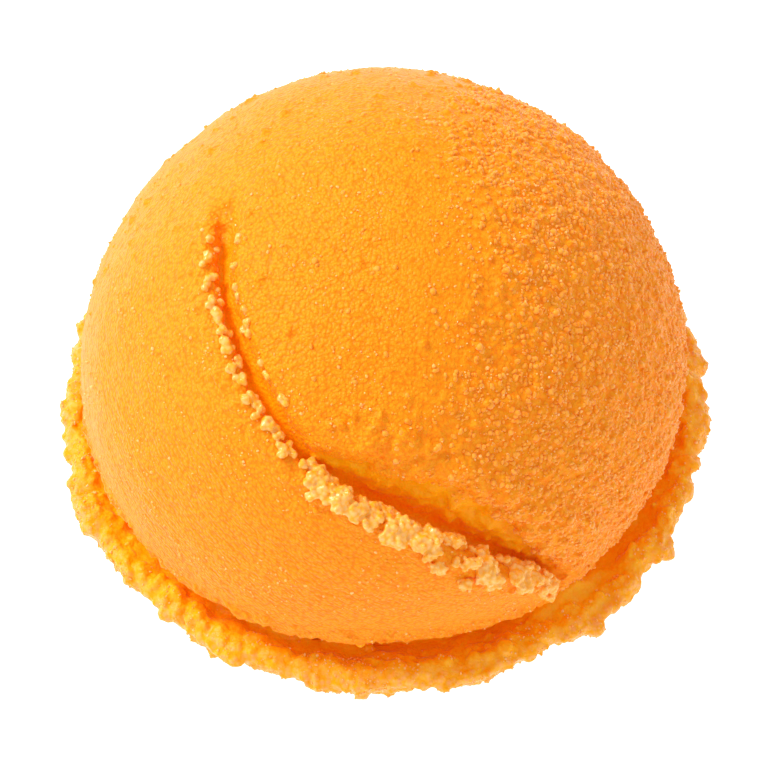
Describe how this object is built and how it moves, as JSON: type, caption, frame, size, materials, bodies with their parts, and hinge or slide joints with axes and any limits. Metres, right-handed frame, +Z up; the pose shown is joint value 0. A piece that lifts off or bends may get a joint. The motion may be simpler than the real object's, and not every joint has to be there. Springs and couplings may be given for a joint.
{
  "type": "sorbet scoop",
  "caption": "Single rolled scoop of orange fruit sorbet with a torn fold across its front and a ragged skirt pressed out round its flat foot.",
  "frame": {"origin": "middle of the flat foot, on the surface that the scoop stands on", "axes": "+Z up through the scoop, -Y towards the side where the fold gapes, +X towards the side where it closes"},
  "size_m": [0.0682, 0.067, 0.0425],
  "materials": {
    "sorbet": "frozen fruit puree, finely grained, slightly translucent and moist, with pale frosty crystals"
  },
  "bodies": {
    "root": {"sorbet_scoop": "sorbet"}
  },
  "joints": []
}
